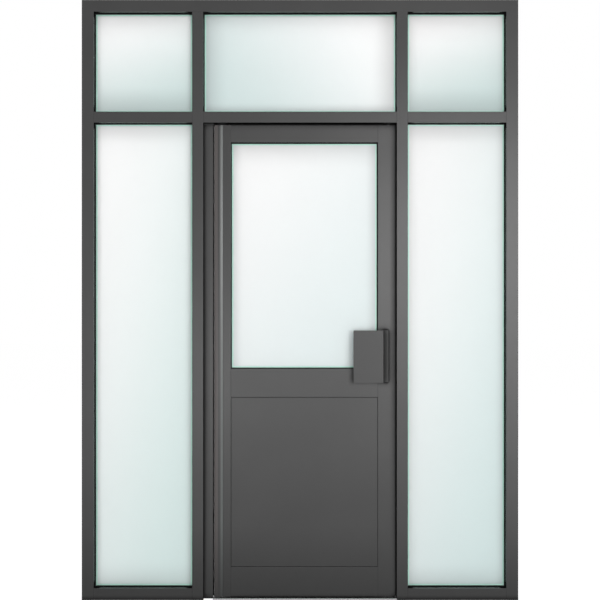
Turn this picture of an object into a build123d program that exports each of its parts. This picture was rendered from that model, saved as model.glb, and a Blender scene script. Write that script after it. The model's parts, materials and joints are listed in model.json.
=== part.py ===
from build123d import *

import math
import os
from typing import NamedTuple

# Glazed double-action swing door in an aluminium frame with two side lights and three top lights.
# Millimetres. X runs to the right along the front, Y from the front to the rear, Z up.
# The origin is on the floor, in the middle of the frame's width and depth.

# Fixed frame
frame_width = 1890
frame_height = 2600
frame_depth = 90
outer_face = 52  # seen width of jambs, head and sills
inner_face = 48  # seen width of mullions and transoms
door_width = 838  # between the mullions
top_light_height = 432  # between the head and the transoms
frame_rebate = 15  # how far a glazing stop stands past its tube
frame_wall = 2.5
hinge_post_width = 41.5
hinge_post_floor_gap = 4
post_packer_inset = 12  # packer over the hinge post, behind its faces

# Glazing
glass_thickness = 10
gasket_thickness = 3
gasket_lip = 3.5  # gasket seen inside the sight line
glass_edge_clearance = 5  # glass edge to the bottom of its pocket
glass_arris = 0.8
bead_wall = 1.6
setting_block_length = 80
setting_block_place_share = 0.25

# Leaf
leaf_thickness = 60
leaf_rebate = 21
leaf_wall = 2.5
hinge_stile_face = 52  # width of the hinge stile tube
nose_width = 39  # rounded part of the hinge stile
nose_radius = 60
nose_drop = 0.5  # crest of the nose behind the leaf face
nose_edge_radius = 5  # on the hinge edge
pivot_setback = 33  # hinge edge to the turning axis
lock_stile_face = 77
top_rail_face = 75
mid_rail_face = 124
bottom_rail_face = 130
panel_sight_height = 736

# Gaps round the leaf
hinge_gap = 4.5  # seen between the hinge post and the leaf
hinge_hollow_gap = 10  # hinge edge to the hollow in the post, in which it turns
lock_gap = 4
head_gap = 9
floor_gap = 12

# Lower panel
panel_recess = 1.5  # panel face behind the leaf face
panel_side_clearance = 0.4
panel_skin = 2
panel_edge_radius = 1.5

# Threshold on the floor of the doorway
threshold_height = 7
threshold_top_wall = 3
threshold_side_wall = 6
threshold_chamfer = 2
threshold_screw_radius = 2.75
threshold_screw_inset = 150  # from the ends of the threshold

# Brush seals
brush_groove_width = 5
brush_groove_depth = 5
brush_groove_wall = 2
brush_pile_width = 3
brush_clearance = 0.5

# Pivots and closer
spindle_radius = 9
spindle_top = 47  # above the floor
floor_plate_thickness = 3
floor_plate_width = 44
floor_plate_length = 66
floor_screw_radius = 2.75
floor_screw_inset = 9
top_plate_radius = 33
top_plate_clearance = 1  # above the leaf
top_pin_radius = 7
top_pin_engagement = 34
top_screw_radius = 2.4
top_screw_head_radius = 4.4
top_screw_length = 16
top_screw_offset = 20
closer_head_height = 70
closer_body_length = 200
closer_body_height = 44
top_block_height = 60

# Handles
handle_width = 131
handle_height = 225
handle_rise = 54.5  # middle of the handle above the mid rail
handle_stand_off = 50  # leaf face to the outer face of the plate
handle_sheet = 4
handle_flange = 23
handle_bend = 0.8  # inner radius of the folds
handle_edge_distance = 31  # flange to the lock edge of the leaf
handle_bolt_radius = 3
handle_bolt_head_radius = 6
handle_bolt_spacing = 150
handle_cover_thickness = 4  # clip-on strip over the bolts

# Joint blocks inside the bars
cleat_leg = 110
connector_length = 60
connector_depth = 40
connector_offset = 18  # behind the middle of the frame
leaf_connector_depth = 18
leaf_connector_height = 45

# Wall, ceiling and floor fixing holes
anchor_radius = 4
anchor_offset = 26  # behind the middle of the frame
jamb_anchor_count = 4
jamb_anchor_inset = 250  # first and last hole from the ends of the jamb
head_anchor_inset = 295
sill_anchor_inset = 98

# Fits and edges
edge_radius = 1.2
fit = 0.2  # beside a piece that is slid into another
running_fit = 0.05  # radial, between a pivot and its bearing
press_clearance = 0.02  # radial, round a pivot in its plate
end_clearance = 2  # beyond the end of a pivot
joint_gap = 0.2  # between beads at their corners
overrun = 1  # past a face that is cut through

# Worked out from the sizes above
half_width = frame_width / 2
half_door = door_width / 2
door_height = frame_height - outer_face - top_light_height - inner_face
outer_tube = outer_face - frame_rebate
inner_tube = inner_face - 2 * frame_rebate
pocket = glass_thickness + 2 * gasket_thickness
mullion_x = half_door + inner_face / 2
transom_z = door_height + inner_face / 2

half_leaf = leaf_thickness / 2
leaf_left = -half_door + hinge_post_width + hinge_gap
leaf_right = half_door - lock_gap
leaf_top = door_height - head_gap
leaf_height = leaf_top - floor_gap
pivot_x = leaf_left + pivot_setback
hinge_hollow_radius = pivot_setback + hinge_hollow_gap
hinge_hollow_depth = hinge_hollow_gap - hinge_gap
hinge_stile_flat = hinge_stile_face - pivot_setback
lock_tube = lock_stile_face - leaf_rebate
rail_left = pivot_x + hinge_stile_flat
rail_right = leaf_right - lock_tube
rail_length = rail_right - rail_left
panel_bottom = floor_gap + bottom_rail_face
mid_rail_bottom = panel_bottom + panel_sight_height
mid_rail_top = mid_rail_bottom + mid_rail_face
top_rail_bottom = leaf_top - top_rail_face

handle_right = leaf_right - handle_edge_distance - handle_flange
handle_middle_height = mid_rail_top + handle_rise
handle_bottom = handle_middle_height - handle_height / 2
handle_bolt_x = handle_right + handle_flange / 2
handle_bolt_heights = (
    handle_middle_height - handle_bolt_spacing / 2,
    handle_middle_height + handle_bolt_spacing / 2,
)
brush_lug_depth = brush_groove_depth + brush_groove_wall
brush_lug_width = brush_groove_width + 2 * brush_groove_wall
top_plate_thickness = head_gap - top_plate_clearance


class Section(NamedTuple):
    """The bar family of the frame or of the leaf, with glazing stops in front and beads at the rear."""

    depth: float
    wall: float
    rebate: float

    @property
    def stop_depth(self):
        return (self.depth - pocket) / 2

    @property
    def stop_middle(self):
        return -(self.depth + pocket) / 4

    @property
    def bite(self):
        return self.rebate - glass_edge_clearance


class Opening(NamedTuple):
    """The sight lines of a pane or panel."""

    left: float
    right: float
    bottom: float
    top: float

    @property
    def width(self):
        return self.right - self.left

    @property
    def height(self):
        return self.top - self.bottom

    @property
    def middle(self):
        return ((self.left + self.right) / 2, (self.bottom + self.top) / 2)


frame_section = Section(frame_depth, frame_wall, frame_rebate)
leaf_section = Section(leaf_thickness, leaf_wall, leaf_rebate)

side_columns = {
    "left": (-half_width + outer_face, -half_door - inner_face),
    "right": (half_door + inner_face, half_width - outer_face),
}
top_columns = {**side_columns, "middle": (-half_door, half_door)}
side_openings = {
    name: Opening(*column, outer_face, door_height) for name, column in side_columns.items()
}
top_openings = {
    name: Opening(*column, door_height + inner_face, frame_height - outer_face)
    for name, column in top_columns.items()
}
glass_opening = Opening(rail_left + leaf_rebate, rail_right - leaf_rebate, mid_rail_top, top_rail_bottom)
panel_opening = Opening(rail_left + leaf_rebate, rail_right - leaf_rebate, panel_bottom, mid_rail_bottom)

os.makedirs("parts", exist_ok=True)


def save(part, name):
    """Label a finished piece and write it to its own file."""
    part.label = name
    export_step(part, f"parts/{name}.step")


def upright(x, z):
    """Section plane of a vertical bar: sketch X is across the face, sketch Y is the depth."""
    return Plane(origin=(x, 0, z))


def level(x, z):
    """Section plane at the right end of a horizontal bar, which runs to the left: sketch X is up."""
    return Plane(origin=(x, 0, z), x_dir=(0, 0, 1), z_dir=(-1, 0, 0))


def round_faces(sketch):
    """Ease the corners of a section that show on its front and rear faces."""
    rows = sketch.vertices().group_by(Axis.Y)
    fillet(rows[0] + rows[-1], edge_radius)


def brush_groove(face, side):
    """Add a closed groove for a brush seal in the wall whose outside is at sketch X = side * face."""
    with Locations((side * (face - brush_lug_depth / 2), 0)):
        Rectangle(brush_lug_depth, brush_lug_width)
    with Locations((side * (face - brush_groove_depth / 2), 0)):
        Rectangle(brush_groove_depth, brush_groove_width, mode=Mode.SUBTRACT)


def bar(plane, length, tube, stops, section, coped=(True, True), brushed=()):
    """A hollow bar with glazing stops and brush grooves on the listed sides, notched over other stops."""
    with BuildPart() as extrusion:
        with BuildSketch(plane) as outline:
            Rectangle(tube, section.depth)
            for side in stops:
                with Locations((side * (tube + section.rebate) / 2, section.stop_middle)):
                    Rectangle(section.rebate, section.stop_depth)
            round_faces(outline)
            offset(amount=-section.wall, kind=Kind.INTERSECTION, mode=Mode.SUBTRACT)
            for side in brushed:
                brush_groove(tube / 2, side)
        extrude(amount=length)
        ends = ((plane, 1), (plane.offset(length), -1))
        for (end, inward), cut in zip(ends, coped):
            if cut:
                with BuildSketch(end):
                    with Locations((0, section.stop_middle)):
                        Rectangle(tube + 2 * section.rebate, section.stop_depth)
                extrude(amount=inward * section.rebate, mode=Mode.SUBTRACT)
    return extrusion.part


def mitre(side):
    """The plane of a top corner joint; its front side is towards the head rail."""
    return Plane(origin=(side * half_width, 0, frame_height), z_dir=(-side, 0, 1))


def brush(plane, length, face, pile, side=1):
    """A brush seal: a base in the groove behind the given face, and a pile that stands past it."""
    with BuildPart() as strip:
        with BuildSketch(plane):
            base = brush_groove_depth - fit
            with Locations((side * (face - brush_groove_depth / 2 - fit / 2), 0)):
                Rectangle(base, brush_groove_width - 2 * fit)
            with Locations((side * (face + pile / 2 - fit), 0)):
                Rectangle(pile + 2 * fit, brush_pile_width)
        extrude(amount=length)
    return strip.part


# Head rail and jambs, mitred at the top corners
with BuildPart() as head_rail:
    add(bar(level(half_width, frame_height - outer_tube / 2), frame_width, outer_tube, (-1,),
            frame_section, coped=(False, False)))
    for side in (-1, 1):
        split(bisect_by=mitre(side), keep=Keep.TOP)
    with BuildSketch(Plane.XY.offset(frame_height - outer_tube - overrun)):
        with Locations((0, anchor_offset)):
            with GridLocations(frame_width - 2 * head_anchor_inset, 0, 2, 1):
                Circle(anchor_radius)
    extrude(amount=outer_tube + 2 * overrun, mode=Mode.SUBTRACT)
save(head_rail.part, "head_rail")

jamb_anchor_spacing = (frame_height - 2 * jamb_anchor_inset) / (jamb_anchor_count - 1)
for side, name in ((-1, "left"), (1, "right")):
    jamb_x = side * (half_width - outer_tube / 2)
    with BuildPart() as jamb:
        add(bar(upright(jamb_x, 0), frame_height, outer_tube, (-side,), frame_section, coped=(False, False)))
        split(bisect_by=mitre(side), keep=Keep.BOTTOM)
        with BuildSketch(Plane.YZ.offset(jamb_x)):
            with Locations((anchor_offset, frame_height / 2)):
                with GridLocations(0, jamb_anchor_spacing, 1, jamb_anchor_count):
                    Circle(anchor_radius)
        extrude(amount=outer_tube, both=True, mode=Mode.SUBTRACT)
    save(jamb.part, f"jamb_{name}")

# Mullions from the floor to the head rail
for side, name in ((-1, "left"), (1, "right")):
    mullion = bar(upright(side * mullion_x, 0), frame_height - outer_tube, inner_tube, (-1, 1),
                  frame_section, coped=(False, True))
    save(mullion, f"mullion_{name}")

# Transoms and sills, butted between the uprights
side_bar_length = half_width - outer_tube - mullion_x - inner_tube / 2
side_bar_ends = {"left": -mullion_x - inner_tube / 2, "right": half_width - outer_tube}
for name, end in side_bar_ends.items():
    save(bar(level(end, transom_z), side_bar_length, inner_tube, (-1, 1), frame_section), f"transom_{name}")
    with BuildPart() as sill:
        add(bar(level(end, outer_tube / 2), side_bar_length, outer_tube, (1,), frame_section))
        with BuildSketch(Plane.XY):
            with Locations((end - side_bar_length / 2, anchor_offset)):
                with GridLocations(side_bar_length - 2 * sill_anchor_inset, 0, 2, 1):
                    Circle(anchor_radius)
        extrude(amount=outer_tube, both=True, mode=Mode.SUBTRACT)
    save(sill.part, f"sill_{name}")

door_bar_end = mullion_x - inner_tube / 2
transom_middle = bar(level(door_bar_end, transom_z), 2 * door_bar_end, inner_tube, (-1, 1), frame_section)
save(transom_middle, "transom_middle")

# Corner cleats in the mitres
with BuildPart() as corner_cleats:
    leg_width = outer_tube - 2 * frame_wall - 2 * fit
    with BuildSketch(Plane.XZ.offset(-connector_offset)):
        for side in (-1, 1):
            with Locations((side * (half_width - outer_tube / 2), frame_height - cleat_leg / 2)):
                Rectangle(leg_width, cleat_leg - 2 * frame_wall - 2 * fit)
            with Locations((side * (half_width - cleat_leg / 2), frame_height - outer_tube / 2)):
                Rectangle(cleat_leg - 2 * frame_wall - 2 * fit, leg_width)
    extrude(amount=connector_depth / 2, both=True)
save(corner_cleats.part, "corner_cleats")

# Joint blocks in the ends of the butted frame bars
inner_block = inner_tube - 2 * frame_wall - 2 * fit
outer_block = outer_tube - 2 * frame_wall - 2 * fit
level_blocks = [(transom_z, inner_block, end, side_bar_length) for end in side_bar_ends.values()]
level_blocks += [(outer_tube / 2, outer_block, end, side_bar_length) for end in side_bar_ends.values()]
level_blocks += [(transom_z, inner_block, door_bar_end, 2 * door_bar_end)]
with BuildPart() as frame_connectors:
    for height, size, end, length in level_blocks:
        for start in (end, end - length + connector_length):
            with BuildSketch(level(start, height)):
                with Locations((0, connector_offset)):
                    Rectangle(size, connector_depth)
            extrude(amount=connector_length)
    for side in (-1, 1):
        with BuildSketch(upright(side * mullion_x, frame_height - outer_tube)):
            with Locations((0, connector_offset)):
                Rectangle(inner_block, connector_depth)
        extrude(amount=-connector_length)
save(frame_connectors.part, "frame_connectors")

# Fillers that close the empty pockets round the doorway
filler_depth = (frame_depth + pocket) / 2
filler_middle = (frame_depth - pocket) / 4


def filler(plane, length):
    """A hollow strip that fills a glazing pocket from the stop to the rear face."""
    with BuildPart() as strip:
        with BuildSketch(plane) as outline:
            with Locations((0, filler_middle)):
                Rectangle(frame_rebate, filler_depth)
            round_faces(outline)
            offset(amount=-bead_wall, kind=Kind.INTERSECTION, mode=Mode.SUBTRACT)
        extrude(amount=length)
    return strip.part


for side, name in ((-1, "left"), (1, "right")):
    post_filler = filler(upright(side * (half_door + frame_rebate / 2), 0), door_height + frame_rebate)
    save(post_filler, f"mullion_filler_{name}")

with BuildPart() as door_head_filler:
    add(filler(level(half_door - joint_gap, door_height + frame_rebate / 2), door_width - 2 * joint_gap))
    with BuildSketch(Plane.XY.offset(door_height)):
        with Locations((pivot_x - top_screw_offset, 0), (pivot_x + top_screw_offset, 0)):
            Circle(top_screw_radius + fit)
    extrude(amount=bead_wall, both=True, mode=Mode.SUBTRACT)
save(door_head_filler.part, "door_head_filler")

# Hinge post, hollowed on the side where the rounded edge of the leaf turns
hinge_post_x = -half_door + hinge_post_width / 2
with BuildPart() as hinge_post:
    with BuildSketch(upright(hinge_post_x, hinge_post_floor_gap)) as outline:
        Rectangle(hinge_post_width, leaf_thickness)
        round_faces(outline)
        with Locations((pivot_x - hinge_post_x, 0)):
            Circle(hinge_hollow_radius, mode=Mode.SUBTRACT)
        with Locations((-hinge_hollow_depth / 2, 0)):
            Rectangle(hinge_post_width - hinge_hollow_depth - 2 * frame_wall,
                      leaf_thickness - 2 * frame_wall, mode=Mode.SUBTRACT)
    extrude(amount=leaf_top - hinge_post_floor_gap)
save(hinge_post.part, "hinge_post")


def pane(opening, section):
    """A pane with seamed edges that reaches into the pocket all round."""
    with BuildPart() as glass:
        with BuildSketch(Plane.XZ):
            with Locations(opening.middle):
                Rectangle(opening.width + 2 * section.bite, opening.height + 2 * section.bite)
        extrude(amount=glass_thickness / 2, both=True)
        chamfer(glass.edges().filter_by(Axis.Y, reverse=True), glass_arris)
    return glass.part


def bead_ring(opening, section):
    """Four hollow glazing beads behind the pane, the uprights running full height."""
    outer_height = opening.height + 2 * section.rebate
    middle_x = opening.middle[0]
    rows = [(level(opening.right - joint_gap, z), opening.width - 2 * joint_gap)
            for z in (opening.bottom - section.rebate / 2, opening.top + section.rebate / 2)]
    columns = [(upright(middle_x + side * (opening.width + section.rebate) / 2,
                        opening.bottom - section.rebate), outer_height) for side in (-1, 1)]
    with BuildPart() as beads:
        for plane, length in rows + columns:
            with BuildSketch(plane) as outline:
                with Locations((0, -section.stop_middle)):
                    Rectangle(section.rebate, section.stop_depth)
                round_faces(outline)
                offset(amount=-bead_wall, kind=Kind.INTERSECTION, mode=Mode.SUBTRACT)
            extrude(amount=length)
    return beads.part


def gasket_rings(openings, section, lip):
    """Front and rear gaskets of the given openings, standing inside the sight lines by the lip."""
    with BuildPart() as gaskets:
        for face in (-pocket / 2, glass_thickness / 2):
            for opening in openings:
                with BuildSketch(Plane.XZ.offset(-face)):
                    with Locations(opening.middle):
                        Rectangle(opening.width + 2 * section.bite, opening.height + 2 * section.bite)
                        Rectangle(opening.width - 2 * lip, opening.height - 2 * lip, mode=Mode.SUBTRACT)
                extrude(amount=-gasket_thickness)
    return gaskets.part


def setting_blocks(openings, section):
    """Two blocks under each pane or panel, which carry it on the bar below."""
    with BuildPart() as blocks:
        for opening in openings:
            with BuildSketch(Plane.XY.offset(opening.bottom - section.rebate)):
                for side in (-1, 1):
                    reach = opening.width * (1 / 2 - setting_block_place_share)
                    with Locations((opening.middle[0] + side * reach, 0)):
                        Rectangle(setting_block_length, glass_thickness + gasket_thickness)
            extrude(amount=glass_edge_clearance)
    return blocks.part


# Side lights and top lights
for group, openings in (("side", side_openings), ("top", top_openings)):
    for name, opening in openings.items():
        save(pane(opening, frame_section), f"pane_{group}_{name}")
        save(bead_ring(opening, frame_section), f"beads_{group}_{name}")
    save(gasket_rings(openings.values(), frame_section, gasket_lip), f"gaskets_{group}_lights")
frame_openings = list(side_openings.values()) + list(top_openings.values())
with BuildPart() as frame_setting_blocks:
    add(setting_blocks(frame_openings, frame_section))
    packer_space = hinge_post_width + hinge_gap
    with BuildSketch(upright(-half_door + packer_space / 2, leaf_top)):
        Rectangle(packer_space - 2 * end_clearance, leaf_thickness - 2 * post_packer_inset)
    extrude(amount=head_gap)
save(frame_setting_blocks.part, "frame_setting_blocks")

# Floor plate and spindle
with BuildPart() as floor_plate:
    with BuildSketch(upright(pivot_x, 0)):
        Rectangle(floor_plate_length, floor_plate_width)
        Circle(spindle_radius + press_clearance, mode=Mode.SUBTRACT)
        with GridLocations(floor_plate_length - 2 * floor_screw_inset,
                           floor_plate_width - 2 * floor_screw_inset, 2, 2):
            Circle(floor_screw_radius, mode=Mode.SUBTRACT)
    extrude(amount=floor_plate_thickness)
save(floor_plate.part, "floor_plate")

with BuildPart() as floor_spindle:
    with BuildSketch(Plane.XY):
        with Locations((pivot_x, 0)):
            Circle(spindle_radius)
    extrude(amount=spindle_top)
    chamfer(floor_spindle.faces().sort_by(Axis.Z)[-1].edges(), edge_radius)
save(floor_spindle.part, "floor_spindle")

# Threshold over the floor plate, from the hinge post to the lock side mullion
threshold_left = -half_door + hinge_post_width
threshold_length = half_door - threshold_left
threshold_middle = (threshold_left + half_door) / 2
with BuildPart() as threshold:
    with BuildSketch(level(half_door, threshold_height / 2)) as outline:
        Rectangle(threshold_height, frame_depth)
        chamfer(outline.vertices().group_by(Axis.Z)[-1], threshold_chamfer)
        with Locations((-threshold_top_wall / 2, 0)):
            Rectangle(threshold_height - threshold_top_wall, frame_depth - 2 * threshold_side_wall,
                      mode=Mode.SUBTRACT)
    extrude(amount=threshold_length)
    with BuildSketch(Plane.XY):
        with Locations((pivot_x, 0)):
            Circle(spindle_radius + end_clearance)
        with Locations((threshold_middle, 0)):
            with GridLocations(threshold_length - 2 * threshold_screw_inset, 0, 2, 1):
                Circle(threshold_screw_radius)
    extrude(amount=threshold_height, mode=Mode.SUBTRACT)
save(threshold.part, "threshold")

# Head pivot: plate, pin and screws under the transom
top_plate_bottom = door_height - top_plate_thickness
with BuildPart() as top_pivot_plate:
    with BuildSketch(Plane.XY.offset(top_plate_bottom)):
        with Locations((pivot_x, 0)):
            Circle(top_plate_radius)
            Circle(top_pin_radius + press_clearance, mode=Mode.SUBTRACT)
    extrude(amount=top_plate_thickness)
    for side in (-1, 1):
        hole_plane = Plane(origin=(pivot_x + side * top_screw_offset, 0, top_plate_bottom), z_dir=(0, 0, -1))
        with Locations(hole_plane):
            CounterSinkHole(top_screw_radius + fit, top_screw_head_radius + fit, top_plate_thickness)
save(top_pivot_plate.part, "top_pivot_plate")

with BuildPart() as top_pivot_pin:
    with BuildSketch(Plane.XY.offset(leaf_top - top_pin_engagement)):
        with Locations((pivot_x, 0)):
            Circle(top_pin_radius)
    extrude(amount=head_gap + top_pin_engagement)
    chamfer(top_pivot_pin.faces().sort_by(Axis.Z)[0].edges(), edge_radius)
save(top_pivot_pin.part, "top_pivot_pin")

with BuildPart() as top_pivot_screws:
    cone = top_screw_head_radius - top_screw_radius
    for side in (-1, 1):
        screw_x = pivot_x + side * top_screw_offset
        with BuildSketch(Plane(origin=(screw_x, 0, top_plate_bottom), x_dir=(1, 0, 0), z_dir=(0, -1, 0))):
            with BuildLine():
                Polyline((0, 0), (top_screw_head_radius, 0), (top_screw_radius, cone),
                         (top_screw_radius, top_screw_length), (0, top_screw_length), close=True)
            make_face()
        revolve(axis=Axis((screw_x, 0, 0), (0, 0, 1)))
save(top_pivot_screws.part, "top_pivot_screws")


nose_left = -pivot_setback
nose_right = nose_left + nose_width
nose_centre = half_leaf - nose_drop - nose_radius


def nosed_tube(inset, mode=Mode.ADD):
    """The hinge stile tube about its turning axis: rounded on both faces, with a step up to the flats."""
    radius = nose_radius - inset
    face = half_leaf - inset
    left = nose_left + inset
    right = nose_right + inset
    flat = hinge_stile_flat - inset
    crest = ((nose_left + nose_right) / 2, nose_centre + radius)
    left_end = nose_centre + math.sqrt(radius ** 2 - (left - crest[0]) ** 2)
    right_end = nose_centre + math.sqrt(radius ** 2 - (right - crest[0]) ** 2)
    with BuildLine() as edge:
        Polyline((right, -right_end), (right, -face), (flat, -face),
                 (flat, face), (right, face), (right, right_end))
        ThreePointArc((right, right_end), crest, (left, left_end))
        Line((left, left_end), (left, -left_end))
        ThreePointArc((left, -left_end), (crest[0], -crest[1]), (right, -right_end))
    with BuildSketch(mode=Mode.PRIVATE) as tube:
        make_face(edge.edges())
        fillet(tube.vertices().group_by(Axis.X)[0], nose_edge_radius - inset)
    add(tube.sketch, mode=mode)


def stile_block():
    """Section of a block that fills the hinge stile, notched over the brush groove."""
    nosed_tube(leaf_wall + fit)
    with Locations((nose_left + brush_lug_depth / 2, 0)):
        Rectangle(brush_lug_depth + 2 * fit, brush_lug_width + 2 * fit, mode=Mode.SUBTRACT)


# Hinge stile in one bar with its glazing stop, grooved for a brush seal, with a window for the closer
closer_body_width = half_leaf + pocket / 2 - leaf_wall - 2 * fit
closer_body_middle = (half_leaf - leaf_wall - pocket / 2) / 2
closer_floor = floor_gap + brush_lug_depth + fit
with BuildPart() as hinge_stile:
    with BuildSketch(upright(pivot_x, floor_gap)) as outline:
        nosed_tube(0)
        with Locations((hinge_stile_flat + leaf_rebate / 2, leaf_section.stop_middle)):
            Rectangle(leaf_rebate, leaf_section.stop_depth)
        round_faces(outline)
        nosed_tube(leaf_wall, Mode.SUBTRACT)
        with Locations((hinge_stile_flat + leaf_rebate / 2 - leaf_wall, leaf_section.stop_middle)):
            Rectangle(leaf_rebate, leaf_section.stop_depth - 2 * leaf_wall, mode=Mode.SUBTRACT)
        brush_groove(pivot_setback, -1)
    extrude(amount=leaf_height)
    with BuildSketch(Plane.YZ.offset(rail_left - leaf_wall - overrun)):
        with Locations((closer_body_middle, floor_gap)):
            Rectangle(closer_body_width + 2 * fit, brush_lug_depth + closer_body_height + 2 * fit,
                      align=(Align.CENTER, Align.MIN))
    extrude(amount=leaf_wall + 2 * overrun, mode=Mode.SUBTRACT)
save(hinge_stile.part, "hinge_stile")

# Lock stile, grooved for its brush seal and drilled for the handle bolts
lock_stile_plane = upright(leaf_right - lock_tube / 2, floor_gap)
with BuildPart() as lock_stile:
    add(bar(lock_stile_plane, leaf_height, lock_tube, (-1,), leaf_section,
            coped=(False, False), brushed=(1,)))
    with BuildSketch(Plane.XZ):
        with Locations(*[(handle_bolt_x, z) for z in handle_bolt_heights]):
            Circle(handle_bolt_radius + fit)
    extrude(amount=leaf_thickness, both=True, mode=Mode.SUBTRACT)
save(lock_stile.part, "lock_stile")

# Rails between the stiles
top_tube = top_rail_face - leaf_rebate
mid_tube = mid_rail_face - 2 * leaf_rebate
bottom_tube = bottom_rail_face - leaf_rebate
top_rail_plane = level(rail_right, leaf_top - top_tube / 2)
save(bar(top_rail_plane, rail_length, top_tube, (-1,), leaf_section, brushed=(1,)), "top_rail")
mid_rail_z = (mid_rail_bottom + mid_rail_top) / 2
save(bar(level(rail_right, mid_rail_z), rail_length, mid_tube, (-1, 1), leaf_section), "mid_rail")
bottom_rail_plane = level(rail_right, floor_gap + bottom_tube / 2)
save(bar(bottom_rail_plane, rail_length, bottom_tube, (1,), leaf_section, brushed=(-1,)), "bottom_rail")

# Joint blocks in the ends of the rails, against their rear walls
with BuildPart() as leaf_connectors:
    block_y = half_leaf - leaf_wall - fit - leaf_connector_depth / 2
    bottom_block_z = floor_gap + bottom_tube - leaf_wall - fit - leaf_connector_height / 2
    for height in (leaf_top - top_tube / 2, mid_rail_z, bottom_block_z):
        for start in (rail_right, rail_left + connector_length):
            with BuildSketch(level(start, height)):
                with Locations((0, block_y)):
                    Rectangle(leaf_connector_height, leaf_connector_depth)
            extrude(amount=connector_length)
save(leaf_connectors.part, "leaf_connectors")

# Leaf pane with its beads and gaskets
save(pane(glass_opening, leaf_section), "leaf_pane")
save(bead_ring(glass_opening, leaf_section), "leaf_beads")
save(gasket_rings([glass_opening], leaf_section, gasket_lip), "leaf_gaskets")
save(setting_blocks([glass_opening, panel_opening], leaf_section), "leaf_setting_blocks")

# Lower panel: a core with a tongue all round, and a folded metal skin on each face
skin_width = panel_opening.width - 2 * panel_side_clearance
skin_height = panel_opening.height - 2 * panel_side_clearance
skin_face = half_leaf - panel_recess
skin_depth = skin_face - glass_thickness / 2
with BuildPart() as panel_core:
    with BuildSketch(Plane.XZ):
        with Locations(panel_opening.middle):
            Rectangle(panel_opening.width + 2 * leaf_section.bite,
                      panel_opening.height + 2 * leaf_section.bite)
    extrude(amount=glass_thickness / 2, both=True)
    with BuildSketch(Plane.XZ):
        with Locations(panel_opening.middle):
            Rectangle(skin_width - 2 * panel_skin, skin_height - 2 * panel_skin)
    extrude(amount=skin_face - panel_skin, both=True)
save(panel_core.part, "panel_core")

for side, name in ((-1, "front"), (1, "rear")):
    with BuildPart() as skin:
        with BuildSketch(Plane.XZ.offset(-side * glass_thickness / 2)):
            with Locations(panel_opening.middle):
                Rectangle(skin_width, skin_height)
        extrude(amount=-side * skin_depth)
        outside = skin.faces().sort_by(Axis.Y)[0 if side < 0 else -1]
        fillet(outside.edges(), panel_edge_radius)
        with BuildSketch(Plane.XZ.offset(-side * glass_thickness / 2)):
            with Locations(panel_opening.middle):
                Rectangle(skin_width - 2 * panel_skin, skin_height - 2 * panel_skin)
        extrude(amount=-side * (skin_depth - panel_skin), mode=Mode.SUBTRACT)
    save(skin.part, f"panel_{name}_skin")

save(bead_ring(panel_opening, leaf_section), "panel_beads")
save(gasket_rings([panel_opening], leaf_section, 0), "panel_gaskets")

# Closer in the bottom rail, with the socket for the spindle
with BuildPart() as closer_unit:
    with BuildSketch(upright(pivot_x, floor_gap)):
        stile_block()
    extrude(amount=closer_head_height)
    closer_body_start = nose_right + leaf_wall + fit
    with BuildSketch(Plane.YZ.offset(pivot_x + closer_body_start)):
        with Locations((closer_body_middle, closer_floor)):
            Rectangle(closer_body_width, closer_body_height, align=(Align.CENTER, Align.MIN))
    extrude(amount=hinge_stile_flat + closer_body_length - closer_body_start)
    with BuildSketch(upright(pivot_x, floor_gap)):
        Circle(spindle_radius + running_fit)
    extrude(amount=spindle_top + end_clearance - floor_gap, mode=Mode.SUBTRACT)
save(closer_unit.part, "closer_unit")

# Head pivot block with the bearing for the pin
with BuildPart() as top_pivot_block:
    with BuildSketch(upright(pivot_x, leaf_top)):
        stile_block()
    extrude(amount=-top_block_height)
    with BuildSketch(upright(pivot_x, leaf_top)):
        Circle(top_pin_radius + running_fit)
    extrude(amount=-top_pin_engagement - end_clearance, mode=Mode.SUBTRACT)
save(top_pivot_block.part, "top_pivot_block")

# Brush seals on all four edges of the leaf
hinge_pile = hinge_hollow_gap - brush_clearance
save(brush(upright(pivot_x, floor_gap), leaf_height, pivot_setback, hinge_pile, -1), "hinge_edge_brush")
save(brush(lock_stile_plane, leaf_height, lock_tube / 2, lock_gap - brush_clearance), "lock_edge_brush")
top_brush_length = rail_right - pivot_x - top_plate_radius - end_clearance
save(brush(top_rail_plane, top_brush_length, top_tube / 2, head_gap - brush_clearance), "top_edge_brush")
bottom_pile = floor_gap - threshold_height - brush_clearance
save(brush(bottom_rail_plane, rail_length, bottom_tube / 2, bottom_pile, -1), "bottom_edge_brush")


def handle(side):
    """A plate handle folded from one sheet: grip plate, web and a flange bolted to the stile."""
    face = side * half_leaf
    front = side * (half_leaf + handle_stand_off)
    seat = side * (half_leaf + handle_sheet)
    back = side * (half_leaf + handle_stand_off - handle_sheet)
    web_left = handle_right - handle_sheet
    with BuildPart() as folded:
        with BuildSketch(Plane.XY.offset(handle_bottom)) as profile:
            with BuildLine():
                Polyline((handle_right - handle_width, front), (handle_right, front), (handle_right, seat),
                         (handle_right + handle_flange, seat), (handle_right + handle_flange, face),
                         (web_left, face), (web_left, back), (handle_right - handle_width, back), close=True)
            make_face()
            folds = (((handle_right, front), handle_bend + handle_sheet), ((handle_right, seat), handle_bend),
                     ((web_left, face), handle_bend + handle_sheet), ((web_left, back), handle_bend))
            for corner, radius in folds:
                fillet(profile.vertices().sort_by_distance((*corner, 0))[0], radius)
        extrude(amount=handle_height)
        grip = folded.faces().sort_by(Axis.Y)[0 if side < 0 else -1]
        fillet(grip.edges().filter_by(GeomType.LINE).sort_by(Axis.X)[0], edge_radius)
        for height in handle_bolt_heights:
            with Locations(Plane(origin=(handle_bolt_x, seat, height), z_dir=(0, side, 0))):
                CounterSinkHole(handle_bolt_radius + fit, handle_bolt_head_radius + fit, handle_sheet)
    return folded.part


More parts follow.
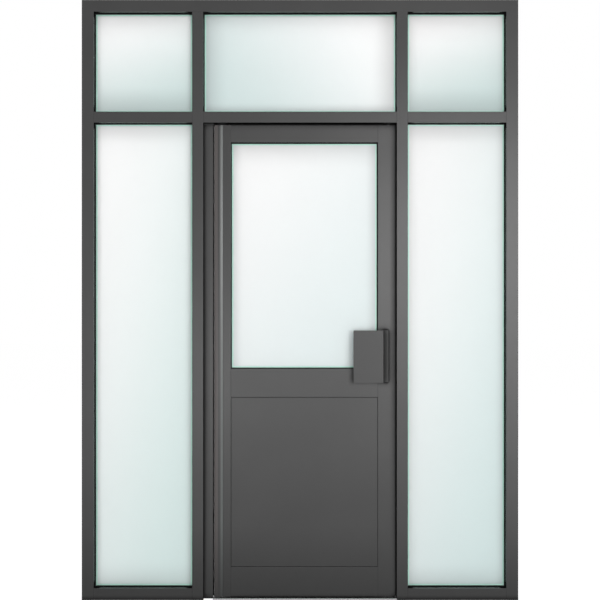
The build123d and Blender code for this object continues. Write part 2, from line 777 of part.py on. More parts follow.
save(handle(-1), "handle_front")
save(handle(1), "handle_rear")

# Clip-on strips that cover the bolts on both flanges
cover_left = handle_right + handle_bend
cover_width = handle_right + handle_flange - cover_left
with BuildPart() as handle_covers:
    for side in (-1, 1):
        with BuildSketch(upright(cover_left + cover_width / 2, handle_bottom)) as outline:
            with Locations((0, side * (half_leaf + handle_sheet + handle_cover_thickness / 2))):
                Rectangle(cover_width, handle_cover_thickness)
            outside = outline.vertices().group_by(Axis.Y)[0 if side < 0 else -1]
            fillet(outside, edge_radius)
        extrude(amount=handle_height)
save(handle_covers.part, "handle_covers")

# Through-bolts with a countersunk head on each face
with BuildPart() as handle_bolts:
    bolt_end = half_leaf + handle_sheet
    cone = handle_bolt_head_radius - handle_bolt_radius
    for height in handle_bolt_heights:
        with BuildSketch(Plane.XY.offset(height)):
            with BuildLine(Plane.XY):
                Polyline((handle_bolt_x, -bolt_end), (handle_bolt_x + handle_bolt_head_radius, -bolt_end),
                         (handle_bolt_x + handle_bolt_radius, cone - bolt_end),
                         (handle_bolt_x + handle_bolt_radius, bolt_end - cone),
                         (handle_bolt_x + handle_bolt_head_radius, bolt_end),
                         (handle_bolt_x, bolt_end), close=True)
            make_face()
        revolve(axis=Axis((handle_bolt_x, 0, height), (0, 1, 0)))
save(handle_bolts.part, "handle_bolts")
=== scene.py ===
# %% [markdown]
# # A glazed swing door in its frame
# The object is a shop or office entrance: a dark powder-coated aluminium frame, five fixed panes of
# satin glass, and one leaf that swings both ways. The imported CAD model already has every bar, bead
# and pivot in its place, so this script keeps those solids and gives them their finishes, makes the
# glass and the brush seals anew, and lights the door as a product is lit in a white studio.

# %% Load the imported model
import json
import math

import bmesh
import bpy
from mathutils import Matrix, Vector


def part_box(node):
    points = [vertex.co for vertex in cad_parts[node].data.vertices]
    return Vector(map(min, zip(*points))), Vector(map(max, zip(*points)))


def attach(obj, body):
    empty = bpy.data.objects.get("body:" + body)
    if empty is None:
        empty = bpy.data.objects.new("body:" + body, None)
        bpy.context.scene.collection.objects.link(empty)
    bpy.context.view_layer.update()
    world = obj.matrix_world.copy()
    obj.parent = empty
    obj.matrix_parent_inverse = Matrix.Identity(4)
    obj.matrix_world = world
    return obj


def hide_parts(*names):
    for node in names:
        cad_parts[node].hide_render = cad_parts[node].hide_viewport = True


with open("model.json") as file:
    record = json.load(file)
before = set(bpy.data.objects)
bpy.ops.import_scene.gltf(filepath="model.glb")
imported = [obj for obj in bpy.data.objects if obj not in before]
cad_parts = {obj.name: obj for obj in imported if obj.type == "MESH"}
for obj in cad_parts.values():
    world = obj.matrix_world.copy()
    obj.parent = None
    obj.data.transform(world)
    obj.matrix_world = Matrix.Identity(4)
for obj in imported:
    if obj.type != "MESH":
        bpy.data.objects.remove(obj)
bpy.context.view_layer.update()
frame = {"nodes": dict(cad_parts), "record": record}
nodes = frame["nodes"]
bodies = frame["record"]["behaviour"]["bodies"]
body_of_node = {node: body for body, names in bodies.items() for node in names}

# %% [markdown]
# ## Helpers for materials
# Colours are picked as sRGB hex codes, as from a paint chart, while shader sockets take linear light.
# One function converts them. A second one adds a node, sets its options and fills its sockets, so that
# each material below reads as a short list of what is mixed with what. No real surface has quite one
# colour, so a third one lets a noise texture lead the colour between two codes.

# %% Colour and node helpers
MM = 0.001
FIRST, SECOND, RESULT = 6, 7, 2  # sockets of a Mix node that mixes colours
NOISE_LOW, NOISE_HIGH = 0.3, 0.7  # most values of a noise texture lie between these


def srgb(code):
    """Linear colour, with alpha, of a hex code such as "#3b3b3c"."""
    channels = [int(code[i:i + 2], 16) / 255 for i in (1, 3, 5)]
    return [c / 12.92 if c <= 0.04045 else ((c + 0.055) / 1.055) ** 2.4 for c in channels] + [1]


def add_node(tree, kind, sockets=None, **options):
    """Add a shader node; a socket gets a constant, or a link where the value is another node's output."""
    node = tree.nodes.new("ShaderNode" + kind)
    for name, value in options.items():
        setattr(node, name, value)
    for name, value in (sockets or {}).items():
        if isinstance(value, bpy.types.NodeSocket):
            tree.links.new(value, node.inputs[name])
        else:
            node.inputs[name].default_value = value
    return node


def new_material(name):
    """An empty node material: its tree, and the Object coordinates that its patterns read."""
    material = bpy.data.materials.new(name)
    material.use_nodes = True
    tree = material.node_tree
    tree.nodes.clear()
    place = add_node(tree, "TexCoord").outputs["Object"]
    return material, tree, place


def mottled(tree, noise, dark, pale):
    """A colour that wanders between two hex codes as a noise does."""
    tone = add_node(tree, "MapRange", {"Value": noise.outputs["Fac"],
                                       "From Min": NOISE_LOW, "From Max": NOISE_HIGH})
    mix = {0: tone.outputs[0], FIRST: srgb(dark), SECOND: srgb(pale)}
    return add_node(tree, "Mix", mix, data_type="RGBA").outputs[RESULT]


def show(tree, shader):
    """Send a finished shader to the surface."""
    add_node(tree, "OutputMaterial", {"Surface": shader.outputs[0]})


print("helpers ready")

# %% [markdown]
# ## Painted shade on the coat
# In the corners of a bar, and on the faces of the bars that look sideways into an opening, the coat is
# painted darker and its gloss is dulled: this is painted shade, where shadow falls. Both could be
# painted by hand on each bar. The Ambient Occlusion node finds the corners from the geometry instead,
# and the normal finds the side faces, so the painted shade follows every step between two bars.

# %% Painted shade in corners and on side faces
CORNER_REACH = 33 * MM  # how far from a step the painted shade reaches
CORNER_RAYS = 8  # rays that look for a corner at each spot
CORNER_START, CORNER_END = 0.97, 0.65  # openness where the painted shade begins, and where it is darkest
FRONT_FACE, SIDE_FACE = 0.5, 0.2  # share of the normal along Y on either kind of face
OUTSIDE, INSIDE = 0.99, 0.9  # openness outside an opening, and in it


def painted_corner_shade(tree, most):
    """Two outputs from 0 to most: how much painted shade a spot gets, and how far it is a side face in an
    opening.
    """
    occlusion = add_node(tree, "AmbientOcclusion", {"Distance": CORNER_REACH}, samples=CORNER_RAYS)
    openness = occlusion.outputs["AO"]
    corner = add_node(tree, "MapRange", {"Value": openness, "From Min": CORNER_START, "From Max": CORNER_END,
                                         "To Max": most})
    normal = add_node(tree, "SeparateXYZ", {0: add_node(tree, "TexCoord").outputs["Normal"]})
    facing = add_node(tree, "Math", {0: normal.outputs["Y"]}, operation="ABSOLUTE")
    sideways = add_node(tree, "MapRange", {"Value": facing.outputs[0], "From Min": FRONT_FACE,
                                           "From Max": SIDE_FACE, "To Max": most})
    inside = add_node(tree, "MapRange", {"Value": openness, "From Min": OUTSIDE, "From Max": INSIDE})
    reveal = add_node(tree, "Math", {0: sideways.outputs[0], 1: inside.outputs[0]}, operation="MULTIPLY")
    shade_mask = add_node(tree, "Math", {0: corner.outputs[0], 1: reveal.outputs[0]}, operation="MAXIMUM")
    return shade_mask.outputs[0], reveal.outputs[0]


# how far the painted shade in the corners reaches
print("dust reaches", round(CORNER_REACH / MM), "mm out of a corner")

# %% [markdown]
# ## Painted highlights on the hinge edge
# The rounded edge of the hinge stile gets two pale bands along its whole height, with a darker line
# between them: painted highlights where the lamps would shine on the curve, and a painted shade line.
# The bands could be two strips of their own, but it is one film, so a colour ramp over the width of the
# edge draws them.

# %% Painted highlights over the rounded edge
ROUNDED_WIDTH = 48 * MM  # rounded edge and the step beside it
rounded_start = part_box("hinge_stile")[0].x
# Painted highlights: pale bands where the lamps would shine, and a darker painted shade line between them.
PAINTED_HIGHLIGHTS = [(0.0, "#494443"), (0.3, "#484443"), (0.37, "#2a2a2a"), (0.5, "#2d2d2d"),
                (0.66, "#4e5251"), (0.75, "#4e5251"), (0.86, "#2f2f2f")]  # share of the way, colour


def highlight_film(tree, along_x, highlight_bands):
    """The film's colour over the rounded edge, with its painted highlights, from (share of the way, hex code)
    pairs.
    """
    across = add_node(tree, "MapRange", {"Value": along_x, "From Min": rounded_start,
                                         "From Max": rounded_start + ROUNDED_WIDTH})
    ramp = add_node(tree, "ValToRGB", {0: across.outputs[0]})
    while len(ramp.color_ramp.elements) < len(highlight_bands):
        ramp.color_ramp.elements.new(1.0)
    for element, (share, code) in zip(ramp.color_ramp.elements, highlight_bands):
        element.position, element.color = share, srgb(code)
    return ramp.outputs["Color"]


print("rounded edge starts at", round(rounded_start, 3), "m")

# %% [markdown]
# ## Powder coat
# All bars, beads, skins and handles are aluminium, sprayed with polyester powder and baked. The film
# is a satin plastic with a fine orange peel, so it takes a soft highlight and no mirror image. The
# peel could be sculpted, but it is only hundredths of a millimetre deep: a bump from a noise texture
# gives the same broken highlight. A second, broad noise makes the slight cloudiness of a sprayed film.
# Close to the floor a gradient over the height darkens the film, as painted shade. The coat is made
# three times: for the bars, for the handles and their covers, which have a flatter powder, and for the
# hinge stile, with painted highlights on its rounded edge.

# %% Powder-coated aluminium
PEEL_SIZE = 4 * MM  # the real peel is near 1 mm; drawn coarser so that it shows
PEEL_DEPTH = 0.04 * MM
PEEL_STRENGTH = 0.6
PEEL_LOW, PEEL_HIGH = 0.25, 0.75  # noise values of the peel's valleys and tops
PEEL_SPREAD = 0.04  # the roughness varies by this much either way
CLOUD_SIZE = 260 * MM
CORNER_ROUGHNESS = 0.6  # added to the roughness in a tight corner
# colour of the painted shade in corners, on side faces and towards the floor
PAINTED_SHADE = "#0e0e0e"
SHINE = 0.35  # specular level of the clean film
SHADED_SHINE = 0.02  # and of a side face in an opening, lowered as painted shade
FOOT_SHADE_HEIGHT = 320 * MM
FOOT_SHADE_SHARE = 0.85  # how much of the film's colour is painted shade at the floor


def powder_coat(name, dark, pale, roughness, shade_amount, highlight_bands=()):
    """Baked polyester powder between two greys, with painted shade in corners, on side faces and towards the
    floor.
    """
    material, tree, place = new_material(name)
    spot = add_node(tree, "SeparateXYZ", {0: place}).outputs
    clouds = add_node(tree, "TexNoise", {"Vector": place, "Scale": 1 / CLOUD_SIZE, "Detail": 3.0})
    peel = add_node(tree, "TexNoise", {"Vector": place, "Scale": 1 / PEEL_SIZE, "Detail": 2.0})
    film = highlight_film(tree, spot["X"], highlight_bands) if highlight_bands else mottled(tree, clouds, dark, pale)
    gloss = add_node(tree, "MapRange", {
        "Value": peel.outputs["Fac"], "From Min": PEEL_LOW, "From Max": PEEL_HIGH,
        "To Min": roughness - PEEL_SPREAD, "To Max": roughness + PEEL_SPREAD})
    shade_mask, reveal = painted_corner_shade(tree, shade_amount)
    dulled = add_node(tree, "Math", {0: shade_mask, 1: CORNER_ROUGHNESS, 2: gloss.outputs[0]},
                      operation="MULTIPLY_ADD")
    # painted shade: the film darkens towards the floor
    foot_shade = add_node(tree, "MapRange", {"Value": spot["Z"], "From Min": FOOT_SHADE_HEIGHT, "From Max": 0.0,
                                         "To Max": FOOT_SHADE_SHARE})
    # the film is mixed towards the painted shade colour in corners, on side faces and towards the floor
    all_shade = add_node(tree, "Math", {0: shade_mask, 1: foot_shade.outputs[0]}, operation="MAXIMUM")
    colour = add_node(tree, "Mix", {0: all_shade.outputs[0], FIRST: film, SECOND: srgb(PAINTED_SHADE)}, data_type="RGBA")
    bump = add_node(tree, "Bump", {"Height": peel.outputs["Fac"], "Distance": PEEL_DEPTH,
                                   "Strength": PEEL_STRENGTH})
    shader = add_node(tree, "BsdfPrincipled", {
        "Base Color": colour.outputs[RESULT], "Roughness": dulled.outputs[0], "Normal": bump.outputs[0],
        "IOR": 1.5, "Specular IOR Level": SHINE})
    # side faces in openings lose their specular level, as painted shade
    matt = add_node(tree, "MapRange", {"Value": reveal, "To Min": SHINE, "To Max": SHADED_SHINE})
    tree.links.new(matt.outputs[0], shader.inputs["Specular IOR Level"])
    show(tree, shader)
    return material


coat = powder_coat("powder_coat_anthracite", "#2d2d2d", "#323232", 0.36, 1.0)
handle_coat = powder_coat("powder_coat_handle", "#292929", "#2d2d2d", 0.44, 0.6)
# The hinge stile's coat, with painted highlights on its rounded edge.
highlight_coat = powder_coat("powder_coat_painted_highlights", "#2d2d2d", "#323232", 0.33, 0.0, PAINTED_HIGHLIGHTS)
print("made", coat.name, handle_coat.name, highlight_coat.name)

# %% [markdown]
# ## Bare metals
# Inside the bars sit blocks of sawn aluminium, and the strip on the floor is an extruded threshold. The
# pivots are zinc-plated steel. The handle bolts and the plate of the head pivot are blackened. An
# extruded or rolled metal has fine lines along its length. They could be cut into the mesh, but they are
# too fine for that, so a noise stretched along one axis varies the colour and the roughness.

# %% Threshold aluminium, plated steel and blackened steel
LINE_WIDTH = 1.2 * MM  # die lines are finer; drawn this coarse so that they show
LINE_LENGTH = 120 * MM
LINE_SPREAD = 0.06  # the roughness varies by this much either way


def lined_metal(name, dark, pale, roughness, along):
    """Bare metal with fine lines that run along X (0) or Z (2)."""
    material, tree, place = new_material(name)
    sizes = [LINE_WIDTH] * 3
    sizes[along] = LINE_LENGTH
    stretched = add_node(tree, "Mapping", {"Vector": place, "Scale": [1 / size for size in sizes]})
    lines = add_node(tree, "TexNoise", {"Vector": stretched.outputs[0], "Scale": 1.0, "Detail": 4.0})
    gloss = add_node(tree, "MapRange", {
        "Value": lines.outputs["Fac"], "From Min": NOISE_LOW, "From Max": NOISE_HIGH,
        "To Min": roughness - LINE_SPREAD, "To Max": roughness + LINE_SPREAD})
    shader = add_node(tree, "BsdfPrincipled", {
        "Base Color": mottled(tree, lines, dark, pale), "Roughness": gloss.outputs[0], "Metallic": 1.0})
    show(tree, shader)
    return material


mill_aluminium = lined_metal("mill_finish_aluminium", "#7c7c7d", "#909091", 0.42, 0)
plated_steel = lined_metal("zinc_plated_steel", "#9b9c9e", "#b4b5b6", 0.36, 2)
black_steel = lined_metal("blackened_steel", "#141415", "#1e1e1f", 0.6, 2)
print("made", mill_aluminium.name, plated_steel.name, black_steel.name)

# %% [markdown]
# ## Rubber, plastic, pile and board
# The gaskets are black EPDM rubber with a matt skin, the setting blocks are moulded plastic, the brush
# seals are nylon pile, and the lower panel has a core of pressed fibre board. None of them shines. A
# plain rough colour would look like a stand-in, so each has its colour broken up by a grain of its own
# size, which also lifts a shallow bump.

# %% Gasket rubber, block plastic, nylon pile and fibre board
GRAIN_DEPTH_SHARE = 0.05  # depth of a grain as a share of its size
GRAIN_STRENGTH = 0.4
MATT_SHINE = 0.3  # specular level


def matt_grain(name, dark, pale, roughness, grain):
    """A dull material with an even grain of the given size, in metres."""
    material, tree, place = new_material(name)
    speckle = add_node(tree, "TexNoise", {"Vector": place, "Scale": 1 / grain, "Detail": 3.0})
    bump = add_node(tree, "Bump", {"Height": speckle.outputs["Fac"], "Distance": grain * GRAIN_DEPTH_SHARE,
                                   "Strength": GRAIN_STRENGTH})
    shader = add_node(tree, "BsdfPrincipled", {
        "Base Color": mottled(tree, speckle, dark, pale), "Roughness": roughness, "Normal": bump.outputs[0],
        "Specular IOR Level": MATT_SHINE})
    show(tree, shader)
    return material


gasket_rubber = matt_grain("epdm_gasket_rubber", "#0a0b0b", "#131514", 0.7, 2 * MM)
block_plastic = matt_grain("moulded_block_plastic", "#1b1c1c", "#242525", 0.6, 3 * MM)
nylon_pile = matt_grain("nylon_brush_pile", "#0c0c0c", "#1d1d1d", 0.85, 1 * MM)
fibre_board = matt_grain("pressed_fibre_board", "#9c8664", "#b49d7a", 0.8, 3 * MM)
print("made", gasket_rubber.name, block_plastic.name, nylon_pile.name, fibre_board.name)

# %% [markdown]
# ## Finishes on the CAD nodes
# The record says which material slot each CAD node has. The finishes could be set node by node, but one
# table from slot to finish dresses all the rigid pieces at once. A node's mesh stays as it is: only the
# material in its slots is exchanged.

# %% Dress the CAD nodes
finish_of_slot = {
    "coated_aluminium": coat,
    "plain_aluminium": mill_aluminium,
    "pivot_steel": plated_steel,
    "bolt_steel": black_steel,
    "gasket_rubber": gasket_rubber,
    "block_plastic": block_plastic,
    "brush_pile": nylon_pile,
    "core_board": fibre_board,
}
finish_of_node = {
    "hinge_stile": highlight_coat,
    "handle_front": handle_coat,
    "handle_rear": handle_coat,
    "handle_covers": handle_coat,
}
for part in frame["record"]["subparts"]:
    finish = finish_of_node.get(part["node"], finish_of_slot.get(part["material_slot"]))
    if finish:
        materials = nodes[part["node"]].data.materials
        materials.clear()
        materials.append(finish)
print("dressed the CAD nodes with", len(finish_of_slot), "finishes")

# %% [markdown]
# ## Clear glass border
# The panes are float glass, acid-etched to a satin face, and the etching stops short of the edge. Iron
# in the glass makes it green where one looks along the sheet, so the clear border that is left shows as
# a mint line. It could be a strip of its own, but it is the same sheet, so it gets a material of its own
# and stays one mesh with the etched field. Part of its light comes through from behind.

# %% Float glass edge
GLASS_IOR = 1.52
RIPPLE_SIZE = 60 * MM  # the green deepens and pales over this length


def clear_edge(name, pale, deep):
    """The green edge of float glass, a little uneven along its length."""
    material, tree, place = new_material(name)
    ripple = add_node(tree, "TexNoise", {"Vector": place, "Scale": 1 / RIPPLE_SIZE, "Detail": 2.0})
    mix = {0: ripple.outputs["Fac"], FIRST: srgb(pale), SECOND: srgb(deep)}
    colour = add_node(tree, "Mix", mix, data_type="RGBA")
    shader = add_node(tree, "BsdfPrincipled", {
        "Base Color": colour.outputs[RESULT], "Roughness": 0.3, "IOR": GLASS_IOR,
        "Specular IOR Level": 0.2, "Transmission Weight": 0.4})
    show(tree, shader)
    return material


edge_glass = clear_edge("float_glass_edge", "#d2f7ea", "#bcefdd")
print("made", edge_glass.name)

# %% [markdown]
# ## Satin glass
# The etched face is nearly white and scatters the light, so no clear picture comes through. Two slow
# changes run over each pane. The colour goes from pale to tinted from one corner to the opposite one,
# which a gradient on Object coordinates draws at a slant: partly the green tint of the glass, partly a
# painted fall-off of light. Along the bars the pane gets painted shade: from each side inwards the colour
# is multiplied by a factor that rises to 1 over a given width. A painted picture could do the same, but
# formulas stay sharp at any size.

# %% Etched face of a pane
ETCH_SIZE = 5 * MM  # the etched grain is far finer; drawn so that it breaks up the highlight
ETCH_SMOOTH, ETCH_ROUGH = 0.42, 0.52  # roughness of the grain's tops and valleys
SATIN_SHINE = 0.25  # specular level
SATIN_PASS = 0.6  # share of the light that goes through


def satin_glass(name, field, first, last, slant, painted_shades):
    """Etched glass on a field (left, right, foot, head), in metres, from a first to a last colour.

    The colours, partly a tint and partly a painted fall-off of light, run from corner to corner at a slant,
    in degrees above +X. The painted shades lie along the four sides: how wide each is, in metres, and the
    factor at its bar.
    """
    material, tree, place = new_material(name)
    left, right, foot, head = field
    way = Vector((math.cos(math.radians(slant)), 0, math.sin(math.radians(slant))))
    middle = Vector((left + right, 0, foot + head)) / 2
    reach = (abs(way.x) * (right - left) + abs(way.z) * (head - foot)) / 2
    # gradient from pale to tinted: partly the green tint of the glass, partly a painted fall-off of light
    along = add_node(tree, "VectorMath", {0: place, 1: way}, operation="DOT_PRODUCT")
    start, end = middle.dot(way) - reach, middle.dot(way) + reach
    run = {"Value": along.outputs["Value"], "From Min": start, "From Max": end}
    depth = add_node(tree, "MapRange", run, interpolation_type="SMOOTHSTEP")
    mix = {0: depth.outputs[0], FIRST: srgb(first), SECOND: srgb(last)}
    colour = add_node(tree, "Mix", mix, data_type="RGBA")
    spot = add_node(tree, "SeparateXYZ", {0: place}).outputs
    # painted shade along each bar of the pane
    for side, inward, axis, (width, shade) in zip(field, (1, -1, 1, -1), "XXZZ", painted_shades):
        edge = {"Value": spot[axis], "From Min": side, "From Max": side + inward * width, "To Min": shade}
        rise = add_node(tree, "MapRange", edge, interpolation_type="SMOOTHSTEP")
        shaded = {0: 1.0, FIRST: colour.outputs[RESULT], SECOND: rise.outputs[0]}
        colour = add_node(tree, "Mix", shaded, data_type="RGBA", blend_type="MULTIPLY")
    etch = add_node(tree, "TexNoise", {"Vector": place, "Scale": 1 / ETCH_SIZE, "Detail": 2.0})
    gloss = add_node(tree, "MapRange", {"Value": etch.outputs["Fac"], "To Min": ETCH_SMOOTH,
                                        "To Max": ETCH_ROUGH})
    shader = add_node(tree, "BsdfPrincipled", {
        "Base Color": colour.outputs[RESULT], "Roughness": gloss.outputs[0], "IOR": GLASS_IOR,
        "Specular IOR Level": SATIN_SHINE, "Transmission Weight": SATIN_PASS})
    show(tree, shader)
    return material


print("satin glass ready")

# %% [markdown]
# ## Pieces that stand for a CAD node
# The glass and the brush seals are made here as new meshes. Each takes the place of a CAD node and has
# to move with that node's body. The lines for this could be repeated for each piece, but one function
# does it for all of them, so no piece can be left behind when the leaf swings.

# %% Turn a bmesh into a piece


def stand_in(name, node, shape, slot, *finishes):
    """Turn a bmesh into a piece that replaces a CAD node and rides on its body."""
    mesh = bpy.data.meshes.new(name)
    shape.to_mesh(mesh)
    shape.free()
    for finish in finishes:
        mesh.materials.append(finish)
    piece = bpy.data.objects.new(name, mesh)
    bpy.context.scene.collection.objects.link(piece)
    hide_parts(node)
    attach(piece, body_of_node[node])
    return piece


print("pieces ride on", sorted(bodies))

# %% [markdown]
# ## The panes
# A pane is a sheet with ground edges. The sheet and its etched field could be two objects, but one is
# truer: a cube stretched to the CAD pane's box, its edges bevelled, and its two large faces inset. The
# ring that the inset leaves is the clear border, and the inner faces are the etched field.

# %% Shape of a pane
ARRIS = 0.8 * MM
GASKET_LIP = 3.5 * MM  # how far the CAD gaskets stand inside the sight line
BORDER = 6 * MM  # clear glass seen inside the gasket
FRAME_BITE = 10 * MM  # pane edge to sight line in the fixed frame
LEAF_BITE = 16 * MM  # the same in the leaf


def glass_pane(node, bite, first, last, slant, painted_shades):
    """A sheet in the place of a CAD pane, with an etched field inside a clear border."""
    low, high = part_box(node)
    rim = bite + GASKET_LIP + BORDER
    sheet = bmesh.new()
    bmesh.ops.create_cube(sheet, size=1)
    bmesh.ops.scale(sheet, vec=high - low, verts=sheet.verts)
    bmesh.ops.translate(sheet, vec=(low + high) / 2, verts=sheet.verts)
    bmesh.ops.bevel(sheet, geom=sheet.edges, offset=ARRIS, affect="EDGES", segments=2, profile=0.5,
                    material=-1)
    large = sorted(sheet.faces, key=lambda face: face.calc_area())[-2:]
    bmesh.ops.inset_individual(sheet, faces=large, thickness=rim - ARRIS, use_even_offset=True)
    for face in large:
        face.material_index = 1
    field = (low.x + rim, high.x - rim, low.z + rim, high.z - rim)
    etched = satin_glass("satin_" + node, field, first, last, slant, painted_shades)
    return stand_in(node + "_glass", node, sheet, "satin_glass", edge_glass, etched)


print("clear border", round(BORDER / MM), "mm wide")

# %% [markdown]
# ## Tints and painted light of the six panes
# All panes are the same glass, but each catches the light a little differently. One material could serve
# all six, and would look flat. So each pane has its own two colours, lighter and darker copies of one
# glass, which are painted light, while panes of a kind share the slant of the tint and the painted
# shades along the bars.

# %% Make the panes
# Painted shades along the left, right, foot and head: width in metres, factor at the bar.
SIDE_SHADES = ((0.02, 0.94), (0.035, 0.9), (0.1, 0.87), (0.085, 0.88))
CORNER_SHADES = ((0.02, 0.94), (0.03, 0.95), (0.115, 0.8), (0.14, 0.94))
MIDDLE_SHADES = ((0.1, 0.85), (0.105, 0.8), (0.035, 0.82), (0.01, 0.98))
LEAF_SHADES = ((0.045, 0.85), (0.045, 0.84), (0.01, 0.98), (0.11, 0.9))
SIDE_SLANT, CORNER_SLANT, MIDDLE_SLANT, LEAF_SLANT = -16, -69, 45, -37
# each pane's two colours are lighter and darker copies of one glass: painted light
panes = [
    glass_pane("pane_side_left", FRAME_BITE, "#fdfdfd", "#dcebe9", SIDE_SLANT, SIDE_SHADES),
    glass_pane("pane_side_right", FRAME_BITE, "#f3f3f3", "#d8e7e6", SIDE_SLANT, SIDE_SHADES),
    glass_pane("pane_top_left", FRAME_BITE, "#fefefe", "#d4e4e2", CORNER_SLANT, CORNER_SHADES),
    glass_pane("pane_top_right", FRAME_BITE, "#fbfafa", "#cbdcda", CORNER_SLANT, CORNER_SHADES),
    glass_pane("pane_top_middle", FRAME_BITE, "#d6e4e3", "#fbfbfb", MIDDLE_SLANT, MIDDLE_SHADES),
    glass_pane("leaf_pane", LEAF_BITE, "#f8f8f8", "#e3ecec", LEAF_SLANT, LEAF_SHADES),
]
print("made", [pane.name for pane in panes])

# %% [markdown]
# ## Brush seals
# A brush seal is a strip of plastic with a dense row of nylon tufts, pushed into a groove on each edge
# of the leaf. Hair particles could draw every filament, but a mesh goes into the exported model. So one
# tuft is a small flared cone, and an Array modifier repeats it along the strip. The base is a bar with
# eased edges.

# %% Make the brush seals
TUFT_SPACING = 3.2 * MM
TUFT_FOOT = 1.1 * MM  # radius in the base
TUFT_TIP = 1.5 * MM
TUFT_SIDES = 6
BASE_DEPTH = 4.8 * MM  # part of the strip that sits in the groove
BASE_EDGE = 0.4 * MM


def brush_seal(node, along, outward):
    """A base and its tufts in the place of a CAD brush that runs along one axis and points outward."""
    low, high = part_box(node)
    along, outward = Vector(along), Vector(outward)
    size, middle = high - low, (low + high) / 2
    reach = abs(size.dot(outward))
    length = size.dot(along)
    groove_end = middle - outward * reach / 2
    base = bmesh.new()
    bmesh.ops.create_cube(base, size=1)
    squeeze = Vector([BASE_DEPTH if outward[i] else size[i] for i in range(3)])
    bmesh.ops.scale(base, vec=squeeze, verts=base.verts)
    bmesh.ops.translate(base, vec=groove_end + outward * BASE_DEPTH / 2, verts=base.verts)
    bmesh.ops.bevel(base, geom=base.edges, offset=BASE_EDGE, affect="EDGES", segments=1, profile=0.5,
                    material=-1)
    pile = bmesh.new()
    height = reach - BASE_DEPTH + BASE_EDGE
    bmesh.ops.create_cone(pile, cap_ends=True, segments=TUFT_SIDES, radius1=TUFT_FOOT, radius2=TUFT_TIP,
                          depth=height)
    turn = Vector((0, 0, 1)).rotation_difference(outward).to_matrix()
    bmesh.ops.rotate(pile, matrix=turn, verts=pile.verts)
    first = middle - along * (length / 2 - TUFT_TIP) + outward * (reach - height) / 2
    bmesh.ops.translate(pile, vec=first, verts=pile.verts)
    tufts = stand_in(node + "_tufts", node, pile, "brush_pile", nylon_pile)
    row = tufts.modifiers.new("row", "ARRAY")
    row.count = int((length - 2 * TUFT_TIP) / TUFT_SPACING) + 1
    row.use_relative_offset = False
    row.use_constant_offset = True
    row.constant_offset_displace = along * TUFT_SPACING
    stand_in(node + "_base", node, base, "brush_pile", block_plastic)
    return row.count


counts = [
    brush_seal("hinge_edge_brush", (0, 0, 1), (-1, 0, 0)),
    brush_seal("lock_edge_brush", (0, 0, 1), (1, 0, 0)),
    brush_seal("top_edge_brush", (1, 0, 0), (0, 0, 1)),
    brush_seal("bottom_edge_brush", (1, 0, 0), (0, 0, -1)),
]
print("tufts on the four edges:", counts)

# %% [markdown]
# ## White world
# The door stands on a white floor against white. A backdrop could be lit until it is white, but that
# light would wash out the pale glass. So the world is white to the camera, to reflections and through
# the glass, and much dimmer as a lamp.

# %% World
WORLD_LEVEL = 0.24  # strength as a lamp


def seen_directly(tree):
    """1 for rays of the camera, of reflections and through glass, otherwise 0."""
    path = add_node(tree, "LightPath").outputs
    either = add_node(tree, "Math", {0: path["Is Camera Ray"], 1: path["Is Glossy Ray"]}, operation="MAXIMUM")
    return add_node(tree, "Math", {0: either.outputs[0], 1: path["Is Transmission Ray"]},
                    operation="MAXIMUM").outputs[0]


world = bpy.data.worlds.new("white_studio")
world.use_nodes = True
world.node_tree.nodes.clear()
bpy.context.scene.world = world
level = add_node(world.node_tree, "MapRange", {"Value": seen_directly(world.node_tree), "To Min": WORLD_LEVEL,
                                               "To Max": 1.0})
sky = add_node(world.node_tree, "Background", {"Color": srgb("#ffffff"), "Strength": level.outputs[0]})
add_node(world.node_tree, "OutputWorld", {"Surface": sky.outputs[0]})
print("made", world.name)

# %% [markdown]
# ## Floor
# The floor is a pale diffuse plane with a glow for the same rays as the world. A glow alone would be
# white too, but would lose the shadow: with both, the floor reads white and still takes one.

# %% Floor
FLOOR_GLOW = 0.92
FLOOR_SIZE = 60.0
FLOOR_DROP = 0.3 * MM  # just below the feet, so that the two faces don't flicker

studio_floor, floor_tree, _ = new_material("white_studio_floor")
paint = add_node(floor_tree, "BsdfDiffuse", {"Color": srgb("#9a9a9a")})
glow_level = add_node(floor_tree, "Math", {0: seen_directly(floor_tree), 1: FLOOR_GLOW}, operation="MULTIPLY")
glow = add_node(floor_tree, "Emission", {"Color": srgb("#ffffff"), "Strength": glow_level.outputs[0]})
show(floor_tree, add_node(floor_tree, "AddShader", {0: paint.outputs[0], 1: glow.outputs[0]}))

ground = bmesh.new()
bmesh.ops.create_grid(ground, x_segments=1, y_segments=1, size=FLOOR_SIZE / 2)
bmesh.ops.translate(ground, vec=(0, 0, -FLOOR_DROP), verts=ground.verts)
floor_mesh = bpy.data.meshes.new("studio_floor")
ground.to_mesh(floor_mesh)
ground.free()
floor_mesh.materials.append(studio_floor)
floor = bpy.data.objects.new("studio_floor", floor_mesh)
bpy.context.scene.collection.objects.link(floor)
print("made", floor.name)

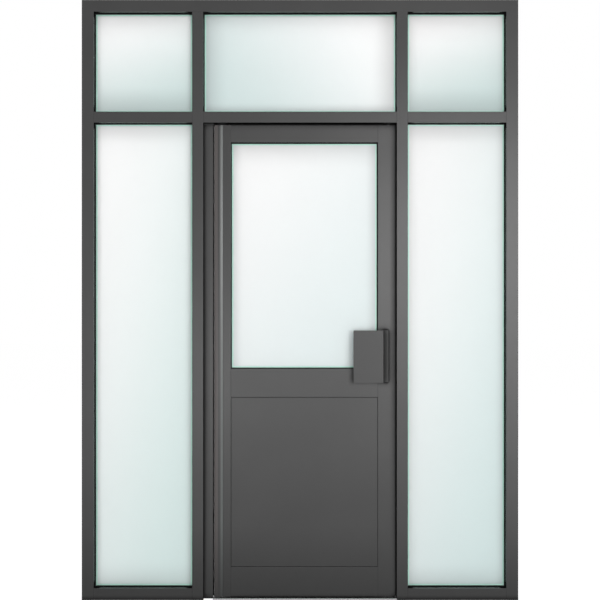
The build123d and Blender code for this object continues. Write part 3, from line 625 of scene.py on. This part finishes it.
# %% [markdown]
# ## Lamps
# A broad softbox stands to the right of the camera, where the right-hand bars mirror it, so the light
# falls off from right to left and towards the foot. A strip at the left fills the shadows, and two low
# ones keep the panel and the foot of the rounded hinge edge from going dark. A wide one above puts a
# soft shade under every level bar, and one behind the door, at its side, lights the rear. The lamps are
# hidden from rays that pass through glass, so that the etched panes flare less where a lamp stands on
# their other side. One bright lamp would light it all, but would leave hard shadows that the photograph
# doesn't have.

# %% Softboxes


def softbox(name, place, aim, size, watts):
    """A rectangular lamp of size (width, height) at a place, turned to the point aim."""
    lamp = bpy.data.lights.new(name, "AREA")
    lamp.shape = "RECTANGLE"
    lamp.size, lamp.size_y = size
    lamp.energy = watts
    holder = bpy.data.objects.new(name, lamp)
    holder.location = place
    holder.rotation_euler = (Vector(aim) - Vector(place)).to_track_quat("-Z", "Y").to_euler()
    holder.visible_transmission = False
    bpy.context.scene.collection.objects.link(holder)
    return holder


lamps = [
    softbox("softbox_right", (1.5, -4.7, 1.73), (0.2, 0, 1.5), (1.8, 1.6), 122),
    softbox("softbox_low_right", (1.7, -4.6, 0.25), (-0.3, 0, 0.7), (0.8, 0.5), 20),
    softbox("strip_left", (-3.4, -4.0, 1.4), (-0.3, 0, 1.4), (0.9, 2.4), 42),
    softbox("softbox_low_left", (-0.85, -4.9, 0.7), (-0.2, 0, 0.9), (1.1, 0.9), 31),
    softbox("softbox_above", (0, -1.3, 4.4), (0, 0, 1.4), (3.0, 1.0), 30),
    softbox("softbox_behind", (4.4, 3.2, 2.6), (0, 0, 1.3), (1.6, 2.2), 80),
]
print("made", [holder.name for holder in lamps])

# %% [markdown]
# ## Camera
# The photograph looks straight at the door from about five metres, with the lens half way up, so both
# jambs show the same sliver of their inner faces. A wider lens from nearer would show more of them. The
# long lens makes the frame fill the picture's height.

# %% Camera
SENSOR = 36.0  # millimetres, as the lens
LENS = 69.3
CAMERA_DISTANCE = 5.045
EYE_HEIGHT = 1.3

camera_data = bpy.data.cameras.new("camera")
camera_data.sensor_width = SENSOR
camera_data.lens = LENS
camera = bpy.data.objects.new("camera", camera_data)
camera.location = (0, -CAMERA_DISTANCE, EYE_HEIGHT)
camera.rotation_euler = (math.radians(90), 0, 0)
bpy.context.scene.collection.objects.link(camera)
bpy.context.scene.camera = camera
bpy.context.scene.view_settings.view_transform = "Standard"
print("camera at", tuple(camera.location))
